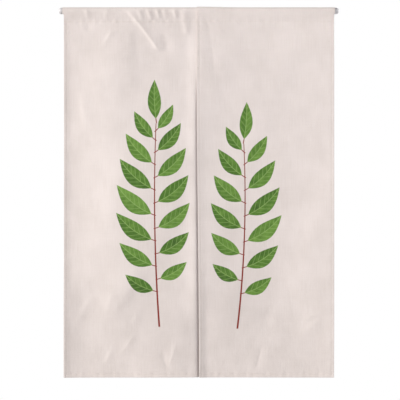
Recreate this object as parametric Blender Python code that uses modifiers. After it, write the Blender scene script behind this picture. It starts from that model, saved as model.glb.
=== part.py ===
"""Builds a noren: a split door curtain of two cloth panels that hang on a tension rod.

Run it with blender --background --python part.py, or from Blender's text editor. Lengths are metres and
+Z is up. The viewer stands on the -Y side. The origin is the middle of the rod, on its axis.
"""

import math
from typing import NamedTuple

import bmesh
import bpy

MM = 0.001

# Rod and end caps
ROD_SPAN = 0.884
ROD_RADIUS = 0.0095
TUBE_WALL = 0.0008
CAP_RADIUS = 0.0101
CAP_LENGTH = 0.012
CAP_DOME = 0.0092
CAP_FACE_RADIUS = 0.003
CAP_GROOVE = 0.0004
PLUG_LENGTH = 0.014
FIT_GAP = 0.0003
TURNED_STEPS = 24

# Cloth
CLOTH_THICKNESS = 0.0011
HEM_THICKNESS = 0.0013
SIDE_HEM = 0.010
BOTTOM_HEM = 0.011
HEM_STEP = 0.001
SEWN_GAP = 0.0007

# Outline of the hanging curtain
LEFT_EDGE = -0.4248
RIGHT_EDGE = 0.4261
HANGING_HEIGHT = 1.167
HEADING_FLARE_LEFT = 0.0044
HEADING_FLARE_RIGHT = 0.0030
FLARE_FROM = 0.019
FLARE_TO = 0.026

# Rod pocket
ROD_CLEARANCE = 0.0006
POCKET_DEPTH = 0.046
POCKET_TURNING = 0.006
POCKET_SLACK = 0.0008
SEAM_Y = -0.008
OVER_STEPS = 8

# Slit between the panels
SLIT_FROM = 0.195
SLIT_X_TOP = -0.0061
SLIT_X_FOOT = 0.0012
LAP = 0.012
LAP_REST = 0.004
LAP_FADE = 0.220
LAP_FADE_OVER_ROD = 0.110
LAP_STEP = HEM_THICKNESS + SEWN_GAP

# Reach of the curled edges across the cloth
OUTER_CURL_LEFT = 0.013
OUTER_CURL_RIGHT = 0.007
INNER_ROLL_LEFT = 0.009
INNER_LIFT_RIGHT = 0.016
DIVE_FROM = 0.005
DIVE_TO = -0.002

OVER_RADIUS = ROD_RADIUS + ROD_CLEARANCE + HEM_THICKNESS
TOP_Z = OVER_RADIUS

CLOTH_COLOUR = (0.79, 0.70, 0.66)
ENAMEL_COLOUR = (0.72, 0.72, 0.73)
CAP_COLOUR = (0.70, 0.69, 0.71)


class Fold(NamedTuple):
    """A ridge of the hanging cloth along a line, or a trough if its height is negative, in millimetres.

    An across value is counted to the right from the rod's middle, and a drop downwards from the top edge.
    The bow moves the line's middle to the right. A width is the reach of the flank at that side of the line.
    A creased fold has a sharp crest, and others a round one.
    """

    name: str
    across_from: float
    drop_from: float
    across_to: float
    drop_to: float
    bow: float
    left_width: float
    right_width: float
    height: float
    fade: float
    creased: bool


class EdgeRow(NamedTuple):
    """How far the panels' edges stand back or forward at one drop, in millimetres."""

    drop: float
    outer_left_forward: float
    inner_left_roll: float
    inner_left_dive: float
    inner_right_forward: float
    outer_right_back: float


class Wave(NamedTuple):
    """A slow unevenness over the whole cloth, in millimetres, with its phase in radians."""

    length_across: float
    length_down: float
    height: float
    phase: float


class Spread(NamedTuple):
    """Grid lines up to a distance, at most a step apart, in metres."""

    to: float
    step: float


class Panel(NamedTuple):
    """One cloth panel: its outer edge, the flare of its heading, and whether it laps over the other one."""

    name: str
    outer_edge: float
    flare: float
    laps_over: bool
    columns: tuple[Spread, ...]


FOLDS = (
    Fold("crease from the heading", -231, 3, -120, 146, 3, 8, 26, 3.0, 34, True),
    Fold("upper end of the broad ridge", -246, 20, -243, 290, 0, 72, 60, 2.2, 80, False),
    Fold("broad ridge of the left panel", -244, -80, -216, 1180, -4, 120, 280, 8.6, 560, False),
    Fold("fall back to the left edge", -420, -80, -416, 1010, 0, 60, 125, -10.0, 560, False),
    Fold("slant end of the broad ridge", -170, 800, -306, 996, 6, 52, 26, 3.0, 80, False),
    Fold("ridge along the sewn lap", -8, 0, -7, 560, 0, 22, 130, 2.8, 130, False),
    Fold("ridge beside the slit", -7, 460, -6, 1010, 0, 24, 110, 2.6, 160, False),
    Fold("valley right of the sewn lap", 14, 0, 48, 230, 8, 8, 16, -0.8, 50, True),
    Fold("soft ridge of the right panel", 440, -60, 440, 1150, 0, 118, 50, 7.4, 260, False),
    Fold("hollow of the right panel", 150, 120, 172, 900, 0, 90, 110, -0.6, 260, False),
    Fold("low hollow of the right panel", 280, 800, 286, 1100, 0, 84, 50, -1.6, 130, False),
    Fold("fall towards the slit", 6, 930, 8, 1500, 0, 52, 220, -3.6, 90, False),
    Fold("low curl at the left edge", -424, 760, -424, 1500, 0, 46, 46, 5.0, 190, False),
    Fold("low rise at the right edge", 440, 900, 440, 1500, 0, 66, 50, 3.4, 130, False),
    Fold("rise of the right hem", 440, 90, 440, 1500, 0, 32, 30, 1.6, 50, False),
    Fold("low crease in the left panel", -70, 1050, -98, 1140, 2, 6, 12, 1.1, 30, True),
    Fold("lower slant crease", -196, 1020, -254, 1100, 3, 8, 14, 1.2, 36, True),
    Fold("low swell of the left panel", -180, 960, -170, 1500, 0, 60, 60, 1.6, 120, False),
    Fold("low ridge of the right panel", 404, 970, 300, 1040, 4, 14, 26, 1.4, 60, False),
)

EDGE_ROWS = (
    EdgeRow(0, 0.0, 0.0, 0.0, 0.0, 0.0),
    EdgeRow(46, 0.9, 0.0, 0.0, 0.0, 0.2),
    EdgeRow(195, 1.8, 0.0, 0.0, 0.0, 0.2),
    EdgeRow(330, 1.9, 0.7, 3.0, 0.8, 0.2),
    EdgeRow(700, 1.9, 1.3, 7.0, 1.6, 0.2),
    EdgeRow(1165, 2.4, 2.4, 10.0, 4.0, 0.2),
)

WAVES = (
    Wave(310, 900, 0.9, 0.7),
    Wave(170, 420, 0.4, 2.1),
    Wave(96, 260, 0.16, 4.4),
)

LEFT_COLUMNS = (
    Spread(0.028, 0.009),
    Spread(0.188, 0.0230),
    Spread(0.300, 0.0090),
    Spread(0.395, 0.0160),
    Spread(0.4137, 0.0094),
    Spread(0.4207, 0.0035),
)
RIGHT_COLUMNS = (Spread(0.030, 0.0085), Spread(0.075, 0.0115), Spread(0.420, 0.030))
BODY_ROWS = (Spread(0.144, 0.0123), Spread(0.194, 0.025), Spread(1.156, 0.051))

PANELS = (
    Panel("panel_left", LEFT_EDGE, HEADING_FLARE_LEFT, False, LEFT_COLUMNS),
    Panel("panel_right", RIGHT_EDGE, HEADING_FLARE_RIGHT, True, RIGHT_COLUMNS),
)


def smooth(value, low, high):
    """Returns 0 below low, 1 above high, and a smooth rise between them."""
    share = min(max((value - low) / (high - low), 0.0), 1.0)
    return share * share * (3.0 - 2.0 * share)


def mix(start, end, share):
    """Returns the value that lies the given share of the way from start to end."""
    return start + (end - start) * share


def fold_height(fold, across, drop):
    """Returns how far one fold lifts the cloth at a place, in millimetres."""
    run = (fold.across_to - fold.across_from, fold.drop_to - fold.drop_from)
    length = math.hypot(*run)
    offset = (across - fold.across_from, drop - fold.drop_from)
    along = (offset[0] * run[0] + offset[1] * run[1]) / length
    share = min(max(along / length, 0.0), 1.0)
    aside = (offset[0] * run[1] - offset[1] * run[0]) / length - fold.bow * 4.0 * share * (1.0 - share)
    ends = smooth(along, 0.0, fold.fade) * smooth(length - along, 0.0, fold.fade)
    reach = abs(aside) / (fold.right_width if aside > 0.0 else fold.left_width)
    return fold.height * ends * math.exp(-reach if fold.creased else -reach * reach)


def relief(across, drop):
    """Returns how far the folds lift the cloth towards the viewer at a place, in metres."""
    height = sum(fold_height(fold, across / MM, drop / MM) for fold in FOLDS)
    sway = smooth(drop, POCKET_DEPTH, SLIT_FROM)
    for wave in WAVES:
        turn = 2.0 * math.pi * (across / wave.length_across + drop / wave.length_down) / MM
        height += sway * wave.height * math.sin(turn + wave.phase)
    return height * MM


def edge_row(drop):
    """Returns the edges' places at a drop, read smoothly between the rows of the table."""
    for upper, lower in zip(EDGE_ROWS, EDGE_ROWS[1:]):
        if drop / MM <= lower.drop:
            share = smooth(drop / MM, upper.drop, lower.drop)
            return EdgeRow(*(mix(a, b, share) for a, b in zip(upper, lower)))
    return EDGE_ROWS[-1]


def slit_x(drop):
    """Returns the X of the visible edge between the panels, which leans a little below the sewn part."""
    return mix(SLIT_X_TOP, SLIT_X_FOOT, smooth(drop, SLIT_FROM, HANGING_HEIGHT))


def spaced(spreads, start):
    """Returns the grid lines from start on, as the spreads ask for."""
    lines = [start]
    for spread in spreads:
        count = math.ceil(round((spread.to - lines[-1]) / spread.step, 6))
        first = lines[-1]
        lines += [mix(first, spread.to, (i + 1) / count) for i in range(count)]
    return lines


def column_places(panel):
    """Returns each grid column's distance from the panel's left edge, with a pair at each hem's line."""
    width = panel_width(panel)
    hem = (0.0, SIDE_HEM - HEM_STEP, SIDE_HEM)
    inner_end = width - SIDE_HEM - 2 * HEM_STEP
    inner = [place for place in spaced(panel.columns, SIDE_HEM)[1:] if place < inner_end]
    return [*hem, *inner, *(width - place for place in reversed(hem))]


def panel_width(panel):
    """Returns the panel's width as it hangs, measured across."""
    if panel.laps_over:
        return panel.outer_edge - SLIT_X_TOP
    return SLIT_X_TOP + LAP - panel.outer_edge


def place_across(panel, column, drop):
    """Returns the X of a column at a drop, with the heading's flare and the slit's lean."""
    width = panel_width(panel)
    from_inner = column if panel.laps_over else width - column
    flare = panel.flare * (1.0 - smooth(drop, FLARE_FROM, FLARE_TO))
    outwards = 1.0 if panel.laps_over else -1.0
    left = SLIT_X_TOP if panel.laps_over else panel.outer_edge
    lean = (slit_x(drop) - SLIT_X_TOP) * (1.0 - smooth(from_inner, SIDE_HEM, width))
    return left + column + lean + outwards * flare * smooth(from_inner, width - 4 * SIDE_HEM, width)


def edge_shift(panel, column, drop):
    """Returns how far the curled edges move the cloth towards the viewer, in metres."""
    width = panel_width(panel)
    row = edge_row(drop)
    if panel.laps_over:
        lift = row.inner_right_forward * math.exp(-((column / INNER_LIFT_RIGHT) ** 2))
        return (lift - row.outer_right_back * math.exp(-(((width - column) / OUTER_CURL_RIGHT) ** 2))) * MM
    beside = slit_x(drop) - place_across(panel, column, drop)
    roll = row.inner_left_roll * math.exp(-((max(beside, 0.0) / INNER_ROLL_LEFT) ** 2))
    dive = row.inner_left_dive * (1.0 - smooth(beside, DIVE_TO, DIVE_FROM))
    return (row.outer_left_forward * math.exp(-((column / OUTER_CURL_LEFT) ** 2)) - roll - dive) * MM


def lap_step(panel, column, fade=LAP_FADE):
    """Returns how far the lapping panel stands off the cloth beneath it, over a length that fades out."""
    if not panel.laps_over:
        return 0.0
    return LAP_STEP * (1.0 - smooth(column, LAP + LAP_REST, LAP + LAP_REST + fade))


def side_hem(panel, column):
    """Returns 1 on the side hems and 0 between them."""
    from_side = min(column, panel_width(panel) - column)
    return 1.0 if from_side < SIDE_HEM - HEM_STEP / 2 else 0.0


def over_radius(panel, column):
    """Returns the outer radius of the cloth over the rod."""
    return OVER_RADIUS + lap_step(panel, column, LAP_FADE_OVER_ROD)


def front_y(panel, column, drop):
    """Returns the Y of the front face where it hangs, from the rod's axis down to the foot."""
    across = place_across(panel, column, drop)
    hanging = SEAM_Y - lap_step(panel, column) - relief(across, drop) - edge_shift(panel, column, drop)
    if drop >= POCKET_DEPTH:
        return hanging
    share = smooth(drop, TOP_Z, POCKET_DEPTH)
    lifted = max(relief(across, drop), 0.0) * (1.0 - share)
    return mix(-over_radius(panel, column) - lifted, hanging, share)


def back_y(panel, column, drop):
    """Returns the Y of the pocket's back face, from the rod's axis down to the turned edge."""
    sewn = front_y(panel, column, max(drop, POCKET_DEPTH))
    layers = 2 * HEM_THICKNESS + SEWN_GAP + POCKET_SLACK + 2 * lap_step(panel, column)
    share = smooth(drop, TOP_Z, POCKET_DEPTH)
    return mix(over_radius(panel, column), sewn + layers, share)


def front_station(drop):
    """Returns a row of the front face at a drop, with its share of hem."""
    hem = 1.0 if drop > HANGING_HEIGHT - BOTTOM_HEM + HEM_STEP / 2 else 0.0
    return (lambda panel, column: (front_y(panel, column, drop), TOP_Z - drop), drop, hem)


def back_station(drop):
    """Returns a row of the pocket's back leg at a drop, with its share of hem."""
    hem = 1.0 if drop > POCKET_DEPTH - POCKET_TURNING else 0.0
    return (lambda panel, column: (back_y(panel, column, drop), TOP_Z - drop), drop, hem)


def over_station(step):
    """Returns a row of the cloth that lies over the rod, counted in steps from the front to the back."""
    angle = math.pi * step / OVER_STEPS
    drop = TOP_Z - OVER_RADIUS * math.sin(angle)

    def place(panel, column):
        across = place_across(panel, column, drop)
        puckered = max(relief(across, drop), 0.0) * smooth(math.cos(angle), 0.0, 1.0)
        radius = over_radius(panel, column) + puckered
        return (-radius * math.cos(angle), radius * math.sin(angle))

    return (place, drop, 0.0)


def stations():
    """Returns the cloth's rows from the foot up the front, over the rod and down the pocket's back."""
    body = [HANGING_HEIGHT, HANGING_HEIGHT - BOTTOM_HEM + HEM_STEP, HANGING_HEIGHT - BOTTOM_HEM]
    body += reversed(spaced(BODY_ROWS, POCKET_DEPTH)[:-1])
    leg = [mix(POCKET_DEPTH, TOP_Z, share) for share in (0.25, 0.5, 0.75)]
    back = [*reversed(leg), POCKET_DEPTH - POCKET_TURNING / 2, POCKET_DEPTH + POCKET_TURNING]
    rows = [front_station(drop) for drop in body + leg]
    rows += [over_station(step) for step in range(OVER_STEPS + 1)]
    return rows + [back_station(drop) for drop in back]


def principled(name, colour, roughness, metallic=0.0):
    """Returns a Principled material with the given colour, roughness and metallic value."""
    material = bpy.data.materials.new(name)
    material.use_nodes = True
    shader = material.node_tree.nodes["Principled BSDF"]
    shader.inputs["Base Color"].default_value = (*colour, 1.0)
    shader.inputs["Roughness"].default_value = roughness
    shader.inputs["Metallic"].default_value = metallic
    material.diffuse_color = (*colour, 1.0)
    return material


def new_object(name, mesh, material, collection):
    """Returns a new object of the mesh, with its material, in the collection."""
    piece = bpy.data.objects.new(name, mesh)
    piece.data.materials.append(material)
    collection.objects.link(piece)
    return piece


def build_panel(panel, material, collection):
    """Builds one panel: a grid laid over the rod and its folds, given the cloth's and the hems' thickness."""
    columns = column_places(panel)
    rows = stations()
    grid = bmesh.new()
    bmesh.ops.create_grid(grid, x_segments=len(columns) - 1, y_segments=len(rows) - 1, size=0.5)
    hems = grid.verts.layers.deform.verify()
    for vertex in grid.verts:
        column = columns[round((vertex.co.x + 0.5) * (len(columns) - 1))]
        place, drop, row_hem = rows[round((vertex.co.y + 0.5) * (len(rows) - 1))]
        y, z = place(panel, column)
        vertex.co = (place_across(panel, column, drop), y, z)
        vertex[hems][0] = max(side_hem(panel, column), row_hem)
    mesh = bpy.data.meshes.new(panel.name)
    grid.to_mesh(mesh)
    grid.free()
    piece = new_object(panel.name, mesh, material, collection)
    piece.vertex_groups.new(name="hem")
    solid = piece.modifiers.new("Thickness", "SOLIDIFY")
    solid.thickness = HEM_THICKNESS
    solid.offset = -1.0
    solid.use_even_offset = True
    solid.vertex_group = "hem"
    solid.thickness_vertex_group = CLOTH_THICKNESS / HEM_THICKNESS
    return piece


def turned(name, profile, closed, material, collection):
    """Builds a piece turned about the X axis from a profile of (x, radius) points."""
    outline = bmesh.new()
    points = [outline.verts.new((x, 0.0, radius)) for x, radius in profile]
    for start, end in zip(points, points[1:]):
        outline.edges.new((start, end))
    if closed:
        outline.edges.new((points[-1], points[0]))
    mesh = bpy.data.meshes.new(name)
    outline.to_mesh(mesh)
    outline.free()
    piece = new_object(name, mesh, material, collection)
    screw = piece.modifiers.new("Turned", "SCREW")
    screw.axis = "X"
    screw.steps = TURNED_STEPS
    screw.render_steps = TURNED_STEPS
    screw.use_smooth_shade = False
    screw.use_merge_vertices = True
    screw.merge_threshold = 0.00001
    return piece


def build_rod(material, collection):
    """Builds the rod's tube, which ends a fit's gap short of the caps' flanges."""
    end = ROD_SPAN / 2 - CAP_LENGTH - FIT_GAP
    bore = ROD_RADIUS - TUBE_WALL
    profile = [(-end, bore), (end, bore), (end, ROD_RADIUS), (-end, ROD_RADIUS)]
    return turned("rod", profile, True, material, collection)


def cap_profile():
    """Returns a cap's outline from its flat face back over the dome, groove and flange to the plug's end."""
    plug = ROD_RADIUS - TUBE_WALL - FIT_GAP
    shoulder = CAP_LENGTH - CAP_DOME
    groove = shoulder / 2
    points = [(-PLUG_LENGTH, 0.0), (-PLUG_LENGTH, plug), (0.0, plug), (0.0, CAP_RADIUS)]
    points += [(groove, CAP_RADIUS), (groove + CAP_GROOVE, CAP_RADIUS - CAP_GROOVE)]
    points += [(groove + 2 * CAP_GROOVE, CAP_RADIUS)]
    for step in range(7):
        angle = math.pi / 2 * step / 6
        radius = mix(CAP_FACE_RADIUS, CAP_RADIUS, math.cos(angle))
        points.append((shoulder + CAP_DOME * math.sin(angle), radius))
    return [(CAP_LENGTH, 0.0), *reversed(points)]


def build_cap(name, side, material, collection):
    """Builds the end cap of one side, which is -1 at the left and 1 at the right."""
    cap = turned(name, cap_profile(), False, material, collection)
    cap.location.x = side * (ROD_SPAN / 2 - CAP_LENGTH)
    cap.rotation_euler.z = 0.0 if side > 0 else math.pi
    return cap


def clear_scene():
    """Removes every object of the open file."""
    for piece in list(bpy.data.objects):
        bpy.data.objects.remove(piece, do_unlink=True)


def main():
    """Builds the whole curtain in a collection of its own."""
    clear_scene()
    collection = bpy.data.collections.new("noren_curtain")
    bpy.context.scene.collection.children.link(collection)
    for panel in PANELS:
        build_panel(panel, principled(f"{panel.name}_cloth", CLOTH_COLOUR, 0.9), collection)
    build_rod(principled("rod_enamel", ENAMEL_COLOUR, 0.35), collection)
    build_cap("end_cap_left", -1, principled("cap_left_plastic", CAP_COLOUR, 0.5), collection)
    build_cap("end_cap_right", 1, principled("cap_right_plastic", CAP_COLOUR, 0.5), collection)


if __name__ == "__main__":
    main()
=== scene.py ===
"""Dresses a noren: two printed cloth panels, sewn together at the top, that hang on a tension rod.

Lengths are metres, unless a name or a docstring says millimetres. +Z is up and the viewer stands on the -Y side.
The origin is the middle of the rod, on its axis. A drop is counted downwards from the curtain's top edge.
"""

import logging
import math
from dataclasses import dataclass, field
from enum import Enum
from functools import partial
from typing import Any

import bmesh
import bpy
import numpy as np
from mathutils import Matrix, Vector

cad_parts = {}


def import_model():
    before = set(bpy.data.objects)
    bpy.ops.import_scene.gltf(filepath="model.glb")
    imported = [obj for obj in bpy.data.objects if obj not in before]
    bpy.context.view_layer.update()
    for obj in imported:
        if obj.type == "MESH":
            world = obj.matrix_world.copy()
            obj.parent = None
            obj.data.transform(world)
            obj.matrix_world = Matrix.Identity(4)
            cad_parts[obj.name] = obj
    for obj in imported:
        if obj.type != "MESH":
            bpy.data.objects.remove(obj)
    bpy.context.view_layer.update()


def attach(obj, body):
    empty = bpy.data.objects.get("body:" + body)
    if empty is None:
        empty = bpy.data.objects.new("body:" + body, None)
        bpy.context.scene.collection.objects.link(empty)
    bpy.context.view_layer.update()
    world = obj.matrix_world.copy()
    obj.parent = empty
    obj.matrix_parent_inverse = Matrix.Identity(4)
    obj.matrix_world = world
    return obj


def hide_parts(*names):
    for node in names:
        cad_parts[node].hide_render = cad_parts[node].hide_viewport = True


MM = 0.001
IMAGE_PIXELS = 400
log = logging.getLogger("noren")

Array = np.ndarray
Node = bpy.types.Node
Socket = bpy.types.NodeSocket
Tree = bpy.types.NodeTree

MATH, VECTOR_MATH, RANGE = "ShaderNodeMath", "ShaderNodeVectorMath", "ShaderNodeMapRange"
MIX, NOISE, BUMP = "ShaderNodeMix", "ShaderNodeTexNoise", "ShaderNodeBump"
MAPPING, ATTRIBUTE = "ShaderNodeMapping", "ShaderNodeAttribute"
SPLIT, JOIN = "ShaderNodeSeparateXYZ", "ShaderNodeCombineXYZ"


class Side(Enum):
    """A side of the curtain as the viewer sees it."""

    LEFT = -1
    RIGHT = 1


class Leg(Enum):
    """The part of a panel's length that a row of the cloth lies on."""

    FRONT = "front"
    OVER = "over the rod"
    BACK = "back of the pocket"


class Cloth(Enum):
    """The two faces of the cloth, with the share of the print's ink that each one shows."""

    FACE = 1.0
    REVERSE = 0.16


def smooth(value: Array | float, low: float, high: float) -> Array:
    """Returns 0 below low, 1 above high, and a smooth rise between them.

    Args:
        value: the values to read.
        low: where the rise starts.
        high: where the rise ends.

    Returns:
        The shares, from 0 to 1.
    """
    share = np.clip((np.asarray(value, float) - low) / (high - low), 0.0, 1.0)
    return share * share * (3.0 - 2.0 * share)


def mix(start: Any, end: Any, share: Any) -> Any:
    """Returns the value that lies the given share of the way from start to end."""
    return start + (end - start) * share


def bell(distance: Array, reach: float) -> Array:
    """Returns a round hump that is 1 at distance 0 and fades out over the reach."""
    return np.exp(-((distance / reach) ** 2))


def linear(colour: str) -> tuple[float, float, float, float]:
    """Turns an sRGB hex colour into a linear one.

    Args:
        colour: six hex digits after a # sign.

    Returns:
        Red, green, blue and an alpha of 1.
    """
    parts = [int(colour[i : i + 2], 16) / 255.0 for i in (1, 3, 5)]
    red, green, blue = (c / 12.92 if c <= 0.04045 else ((c + 0.055) / 1.055) ** 2.4 for c in parts)
    return red, green, blue, 1.0


def fill(tree: Tree, node: Node, inputs: dict) -> None:
    """Sets or links a node's inputs.

    Args:
        tree: the node tree.
        node: the node.
        inputs: a value, a socket or a node for each input, by its name or number. A node gives its first shown
            output.
    """
    for key, value in inputs.items():
        if isinstance(value, Node):
            value = next(socket for socket in value.outputs if socket.enabled)
        if isinstance(value, Socket):
            tree.links.new(value, node.inputs[key])
        else:
            node.inputs[key].default_value = value


def put(tree: Tree, kind: str, inputs: dict | None = None, **settings: Any) -> Node:
    """Adds one node to a tree.

    Args:
        tree: the node tree.
        kind: the node's type, such as ShaderNodeMath.
        inputs: what fill takes.
        settings: the node's own settings, by name.

    Returns:
        The new node.
    """
    node = tree.nodes.new(kind)
    for name, value in settings.items():
        setattr(node, name, value)
    fill(tree, node, inputs or {})
    return node


def parts_of(tree: Tree, name: str) -> list[Socket]:
    """Returns the three parts of a piece's vector attribute."""
    given = put(tree, ATTRIBUTE, attribute_name=name)
    return list(put(tree, SPLIT, {0: given.outputs["Vector"]}).outputs)


def new_material(name: str) -> tuple[bpy.types.Material, Tree, Node]:
    """Makes a material with one Principled shader.

    Args:
        name: the finish in a maker's words.

    Returns:
        The material, its tree and its shader.
    """
    material = bpy.data.materials.new(name)
    material.use_nodes = True
    return material, material.node_tree, material.node_tree.nodes["Principled BSDF"]


def new_piece(name: str, mesh: bpy.types.Mesh, material: bpy.types.Material) -> bpy.types.Object:
    """Links a new object to the scene.

    Args:
        name: the piece's name.
        mesh: its finished mesh.
        material: its finish.

    Returns:
        The piece.
    """
    piece = bpy.data.objects.new(name, mesh)
    mesh.materials.clear()
    mesh.materials.append(material)
    bpy.context.scene.collection.objects.link(piece)
    return piece


def write(mesh: bpy.types.Mesh, name: str, domain: str, values: Array) -> None:
    """Writes an attribute of a mesh.

    Args:
        mesh: the mesh.
        name: the attribute's name.
        domain: POINT or FACE.
        values: a number or a vector for each of them.
    """
    kind, part = ("FLOAT", "value") if values.ndim == 1 else ("FLOAT_VECTOR", "vector")
    mesh.attributes.new(name, kind, domain).data.foreach_set(part, values.astype(np.float32).ravel())


def report(piece: bpy.types.Object) -> None:
    """Logs a finished piece's name and its number of triangles."""
    piece.data.calc_loop_triangles()
    log.info("%s: %d triangles", piece.name, len(piece.data.loop_triangles))


@dataclass(frozen=True)
class Fold:
    """A ridge of the hanging cloth along a line, or a trough if its height is negative, in millimetres.

    Across is counted to the right from the rod's middle. The bow moves the line's middle to the right. A creased
    fold has a sharp crest, and others a round one.
    """

    name: str
    across_from: float
    drop_from: float
    across_to: float
    drop_to: float
    bow: float
    left_width: float
    right_width: float
    height: float
    fade: float
    creased: bool = False

    def lift(self, across: Array, drop: Array) -> Array:
        """Returns how far the fold lifts the cloth at each place, in millimetres.

        Args:
            across: the places' distance to the right of the rod's middle, in millimetres.
            drop: the places' drop, in millimetres.

        Returns:
            The lift towards the viewer.
        """
        run = (self.across_to - self.across_from, self.drop_to - self.drop_from)
        length = math.hypot(*run)
        right, down = across - self.across_from, drop - self.drop_from
        along = (right * run[0] + down * run[1]) / length
        share = np.clip(along / length, 0.0, 1.0)
        aside = (right * run[1] - down * run[0]) / length - self.bow * 4.0 * share * (1.0 - share)
        ends = smooth(along, 0.0, self.fade) * smooth(length - along, 0.0, self.fade)
        reach = np.abs(aside) / np.where(aside > 0.0, self.right_width, self.left_width)
        return self.height * ends * np.exp(-reach if self.creased else -reach * reach)


@dataclass(frozen=True)
class EdgeRow:
    """How far the panels' edges curl at one drop, in millimetres."""

    drop: float
    outer_left_forward: float
    inner_left_roll: float
    inner_left_dive: float
    inner_right_forward: float
    outer_right_back: float


@dataclass(frozen=True)
class Wave:
    """A slow unevenness over the whole cloth, in millimetres, with its phase in radians."""

    length_across: float
    length_down: float
    height: float
    phase: float


FOLDS = (
    Fold("crease from the heading", -231, 3, -120, 146, 3, 5, 26, 3.0, 34, True),
    Fold("upper end of the broad ridge", -246, 20, -243, 290, 0, 72, 60, 2.2, 80),
    Fold("broad ridge of the left panel", -244, -80, -216, 1180, -4, 120, 280, 8.6, 560),
    Fold("fall back to the left edge", -420, -80, -416, 1010, 0, 60, 125, -10.0, 560),
    Fold("slant end of the broad ridge", -170, 800, -306, 996, 6, 52, 26, 3.0, 80),
    Fold("ridge along the sewn lap", -8, 0, -7, 560, 0, 22, 130, 2.8, 130),
    Fold("ridge beside the slit", -7, 460, -6, 1010, 0, 24, 110, 2.6, 160),
    Fold("valley right of the sewn lap", 14, 0, 48, 230, 8, 8, 16, -0.8, 50, True),
    Fold("soft ridge of the right panel", 440, -60, 440, 1150, 0, 118, 50, 7.4, 260),
    Fold("hollow of the right panel", 150, 120, 172, 900, 0, 90, 110, -0.6, 260),
    Fold("low hollow of the right panel", 280, 800, 286, 1100, 0, 84, 50, -1.6, 130),
    Fold("fall towards the slit", 6, 930, 8, 1500, 0, 52, 220, -3.6, 90),
    Fold("low curl at the left edge", -424, 760, -424, 1500, 0, 46, 46, 5.0, 190),
    Fold("low rise at the right edge", 440, 900, 440, 1500, 0, 66, 50, 3.4, 130),
    Fold("rise of the right hem", 440, 90, 440, 1500, 0, 32, 30, 1.6, 50),
    Fold("low crease in the left panel", -70, 1050, -98, 1140, 2, 6, 12, 1.1, 30, True),
    Fold("lower slant crease", -196, 1020, -254, 1100, 3, 8, 14, 1.2, 36, True),
    Fold("low swell of the left panel", -180, 960, -170, 1500, 0, 60, 60, 1.6, 120),
    Fold("low ridge of the right panel", 404, 970, 300, 1040, 4, 14, 26, 1.4, 60),
)

PUCKERS = (
    Fold("gather at the heading 1", -192, 4, -176, 44, 0, 5, 8, 1.3, 14),
    Fold("gather at the heading 2", -164, 2, -146, 46, 0, 5, 8, 1.7, 14),
    Fold("gather at the heading 3", -134, 2, -122, 40, 0, 5, 8, 1.8, 14),
    Fold("gather at the heading 4", -110, 2, -102, 42, 0, 5, 7, 1.2, 14),
    Fold("gather at the heading 5", -78, 2, -70, 40, 0, 5, 7, 1.8, 14),
    Fold("gather at the heading 6", -48, 4, -36, 96, 0, 8, 12, 1.5, 26),
    Fold("gather at the heading 7", -358, 2, -346, 38, 0, 6, 9, 1.3, 14),
    Fold("gather at the heading 8", -286, 4, -296, 44, 0, 6, 9, 0.8, 14),
    Fold("gather at the heading 9", 92, 2, 98, 40, 0, 6, 9, 0.5, 14),
    Fold("gather at the heading 10", 236, 2, 230, 40, 0, 6, 9, 0.5, 14),
    Fold("stroke beside the crease", -268, 66, -304, 130, 0, 6, 10, 0.7, 24),
    Fold("short fold under the pocket", -342, 44, -352, 80, 0, 8, 12, -0.8, 16),
    Fold("fold under the crease", -118, 70, -92, 150, 0, 10, 14, -0.9, 30),
    Fold("dent beside the ridge", -202, 60, -190, 190, 0, 12, 16, -0.7, 50),
    Fold("tip of the bright ridge", -372, 250, -352, 400, 0, 9, 20, 0.9, 60),
    Fold("slant fold low at the left", -330, 900, -392, 1010, 0, 9, 15, 0.8, 40),
    Fold("low stroke at the left 1", -262, 880, -296, 970, 0, 8, 13, 0.6, 34),
    Fold("low stroke at the left 2", -268, 1070, -300, 1130, 0, 6, 11, 0.7, 22),
    Fold("low stroke at the left 3", -190, 960, -214, 1010, 0, 6, 11, 0.5, 20),
    Fold("low stroke at the left 4", -118, 1080, -96, 1150, 0, 7, 10, -0.8, 22),
    Fold("short crease at the foot", 200, 1060, 178, 1150, 0, 5, 10, -1.1, 26, True),
    Fold("low stroke at the right", 322, 990, 396, 960, 0, 7, 12, 0.8, 26),
    Fold("bend at the lower right", 300, 1100, 410, 1120, 0, 9, 14, 0.6, 34),
    Fold("dent in the right panel", 236, 930, 200, 1010, 0, 14, 18, -0.8, 34),
)

EDGE_ROWS = (
    EdgeRow(0, 0.0, 0.0, 0.0, 0.0, 0.0),
    EdgeRow(46, 0.9, 0.0, 0.0, 0.0, 0.2),
    EdgeRow(195, 1.8, 0.0, 0.0, 0.0, 0.2),
    EdgeRow(330, 1.9, 0.7, 3.0, 0.8, 0.2),
    EdgeRow(700, 1.9, 1.3, 7.0, 1.6, 0.2),
    EdgeRow(1165, 2.4, 2.4, 10.0, 4.0, 0.2),
)

WAVES = (
    Wave(310, 900, 0.7, 0.7),
    Wave(170, 420, 0.26, 2.1),
    Wave(96, 260, 0.11, 4.4),
    Wave(-61, 143, 0.07, 1.3),
)


@dataclass(frozen=True)
class TonePatch:
    """A soft patch where the cloth's colour is made lighter, or darker if its share is negative, in millimetres."""

    across: float
    drop: float
    reach_across: float
    reach_down: float
    share: float


# Soft patches that scale the cloth's colour: lighter where the share is positive, darker where it is negative.
TONE_PATCHES = (
    TonePatch(104, 330, 66, 200, 0.066),
    TonePatch(-48, 330, 34, 150, 0.040),
    TonePatch(190, 1070, 110, 190, -0.055),
    TonePatch(-22, 66, 60, 62, -0.040),
    TonePatch(-110, 985, 70, 110, -0.038),
)


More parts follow.
